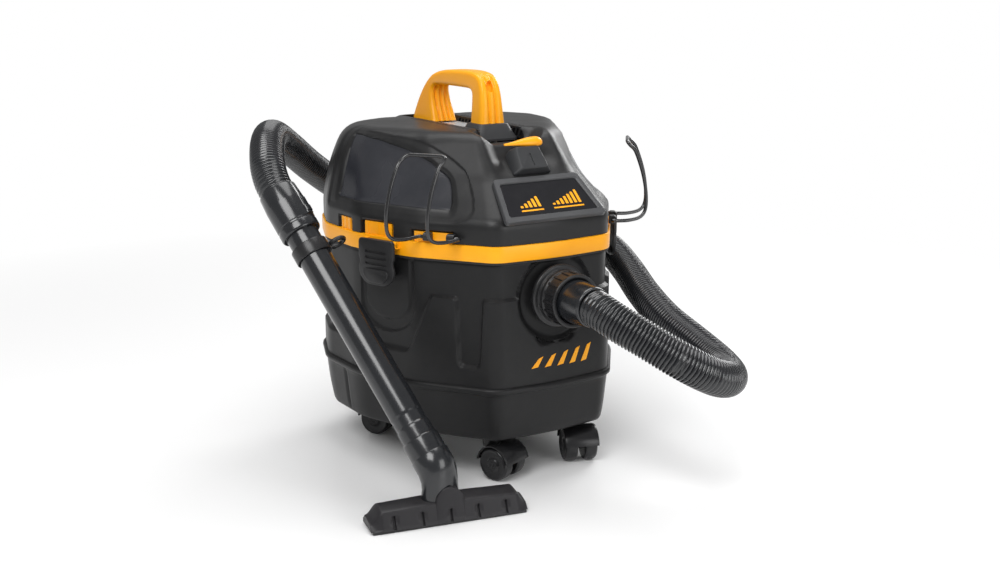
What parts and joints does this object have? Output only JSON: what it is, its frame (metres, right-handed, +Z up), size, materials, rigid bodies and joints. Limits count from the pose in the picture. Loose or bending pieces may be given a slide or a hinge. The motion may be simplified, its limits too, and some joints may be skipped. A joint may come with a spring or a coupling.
{
  "type": "wet and dry shop vacuum",
  "caption": "Wet and dry shop vacuum: square black tank on casters, yellow ring and handle, lift-off motor head with side latches, wire bails, and a corrugated hose with wand and floor nozzle.",
  "frame": {"origin": "on the floor under the middle of the machine, without the hose, wand and nozzle", "axes": "+Z up, -Y towards the front with the hose port, +X to the machine's right-hand flank seen from the front"},
  "size_m": [0.5169, 0.6481, 0.4668],
  "materials": {
    "tank_plastic": "fine grained moulding",
    "head_plastic": "satin moulding",
    "yellow_plastic": "semi gloss moulding",
    "grey_trim": "satin moulding",
    "label_gloss": "glossy printed label",
    "wheel_plastic": "hard rubber",
    "black_wire": "black coated wire",
    "steel": "plated steel",
    "aluminium": "cast and turned",
    "copper_windings": "varnished winding",
    "seal_rubber": "soft foam rubber",
    "filter_paper": "pleated paper",
    "hose_plastic": "corrugated flexible plastic",
    "wand_plastic": "smooth satin tube",
    "red_plastic": "satin moulding",
    "white_plastic": "blown moulding"
  },
  "bodies": {
    "tank_body": {"tank": "tank_plastic", "base_skirt": "tank_plastic", "port_flange": "tank_plastic", "inlet_deflector": "tank_plastic", "caster_sockets": "steel", "hose_cuff_tank": "head_plastic", "hose": "hose_plastic", "hose_cuff_wand": "head_plastic", "wand": "wand_plastic", "hang_ring": "head_plastic", "nozzle": "grey_trim", "nozzle_strip": "seal_rubber"},
    "head": {"head_ring": "yellow_plastic", "head_cover": "head_plastic", "spec_bezel": "grey_trim", "spec_label": "label_gloss", "switch_block": "grey_trim", "handle": "yellow_plastic", "handle_base": "grey_trim", "handle_screws": "steel", "vent_grille": "head_plastic", "blower_port": "head_plastic", "cord_gland": "head_plastic", "bail_brackets": "head_plastic", "latch_pins": "steel", "motor_plate": "head_plastic", "fan_housing": "head_plastic", "motor_housing": "aluminium", "stator": "copper_windings", "bearings": "steel", "carbon_brushes": "seal_rubber", "tank_gasket": "seal_rubber", "filter_cage": "head_plastic", "cartridge_filter": "filter_paper", "filter_retainer": "red_plastic", "ring_screws": "steel"},
    "motor_rotor": {"impeller": "aluminium", "armature": "copper_windings"},
    "switch": {"switch_lever": "yellow_plastic"},
    "float": {"float_ball": "white_plastic"},
    "collar": {"lock_collar": "head_plastic"},
    "bail_left": {"bail_left": "black_wire"},
    "bail_right": {"bail_right": "black_wire"},
    "latch_left": {"latch_left": "head_plastic"},
    "latch_right": {"latch_right": "head_plastic"},
    "swivel_fl": {"caster_stem_fl": "head_plastic"},
    "wheels_fl": {"caster_wheels_fl": "wheel_plastic"},
    "swivel_fr": {"caster_stem_fr": "head_plastic"},
    "wheels_fr": {"caster_wheels_fr": "wheel_plastic"},
    "swivel_rl": {"caster_stem_rl": "head_plastic"},
    "wheels_rl": {"caster_wheels_rl": "wheel_plastic"},
    "swivel_rr": {"caster_stem_rr": "head_plastic"},
    "wheels_rr": {"caster_wheels_rr": "wheel_plastic"}
  },
  "joints": [
    {"name": "head_lift", "type": "slide", "parent": "tank_body", "child": "head", "axis": [0, 0, 1], "range_m": [0, 0.3]},
    {"name": "motor_spin", "type": "hinge", "parent": "head", "child": "motor_rotor", "pos_m": [0, 0.012, 0.33], "axis": [0, 0, 1], "continuous": true},
    {"name": "float_rise", "type": "slide", "parent": "head", "child": "float", "axis": [0, 0, 1], "range_m": [0, 0.04]},
    {"name": "collar_turn", "type": "hinge", "parent": "tank_body", "child": "collar", "pos_m": [0, -0.2, 0.222], "axis": [0, -1, 0], "range_deg": [0, 40]},
    {"name": "switch_tip", "type": "hinge", "parent": "head", "child": "switch", "pos_m": [0, -0.10185, 0.39003], "axis": [1, 0, 0], "range_deg": [0, 14]},
    {"name": "bail_right_swing", "type": "hinge", "parent": "head", "child": "bail_right", "pos_m": [0.12308, -0.11523, 0.292], "axis": [0.606, 0.7955, 0], "range_deg": [0, 60]},
    {"name": "bail_left_swing", "type": "hinge", "parent": "head", "child": "bail_left", "pos_m": [-0.12308, -0.11523, 0.292], "axis": [0.606, -0.7955, 0], "range_deg": [0, 60]},
    {"name": "latch_right_open", "type": "hinge", "parent": "head", "child": "latch_right", "pos_m": [0.16197, -0.04478, 0.278], "axis": [-0.3567, -0.9342, 0], "range_deg": [0, 85]},
    {"name": "latch_left_open", "type": "hinge", "parent": "head", "child": "latch_left", "pos_m": [-0.16197, -0.04478, 0.278], "axis": [-0.3567, 0.9342, 0], "range_deg": [0, 85]},
    {"name": "swivel_fl_turn", "type": "hinge", "parent": "tank_body", "child": "swivel_fl", "pos_m": [-0.06, -0.128, 0.05], "axis": [0, 0, 1], "continuous": true},
    {"name": "wheels_fl_roll", "type": "hinge", "parent": "swivel_fl", "child": "wheels_fl", "pos_m": [-0.05487, -0.14209, 0.02], "axis": [-0.9397, -0.342, 0], "continuous": true},
    {"name": "swivel_fr_turn", "type": "hinge", "parent": "tank_body", "child": "swivel_fr", "pos_m": [0.06, -0.128, 0.05], "axis": [0, 0, 1], "continuous": true},
    {"name": "wheels_fr_roll", "type": "hinge", "parent": "swivel_fr", "child": "wheels_fr", "pos_m": [0.05487, -0.14209, 0.02], "axis": [-0.9397, 0.342, 0], "continuous": true},
    {"name": "swivel_rl_turn", "type": "hinge", "parent": "tank_body", "child": "swivel_rl", "pos_m": [-0.112, 0.092, 0.05], "axis": [0, 0, 1], "continuous": true},
    {"name": "wheels_rl_roll", "type": "hinge", "parent": "swivel_rl", "child": "wheels_rl", "pos_m": [-0.1034, 0.07971, 0.02], "axis": [-0.8192, -0.5736, 0], "continuous": true},
    {"name": "swivel_rr_turn", "type": "hinge", "parent": "tank_body", "child": "swivel_rr", "pos_m": [0.112, 0.092, 0.05], "axis": [0, 0, 1], "continuous": true},
    {"name": "wheels_rr_roll", "type": "hinge", "parent": "swivel_rr", "child": "wheels_rr", "pos_m": [0.1045, 0.07901, 0.02], "axis": [-0.866, 0.5, 0], "continuous": true}
  ]
}
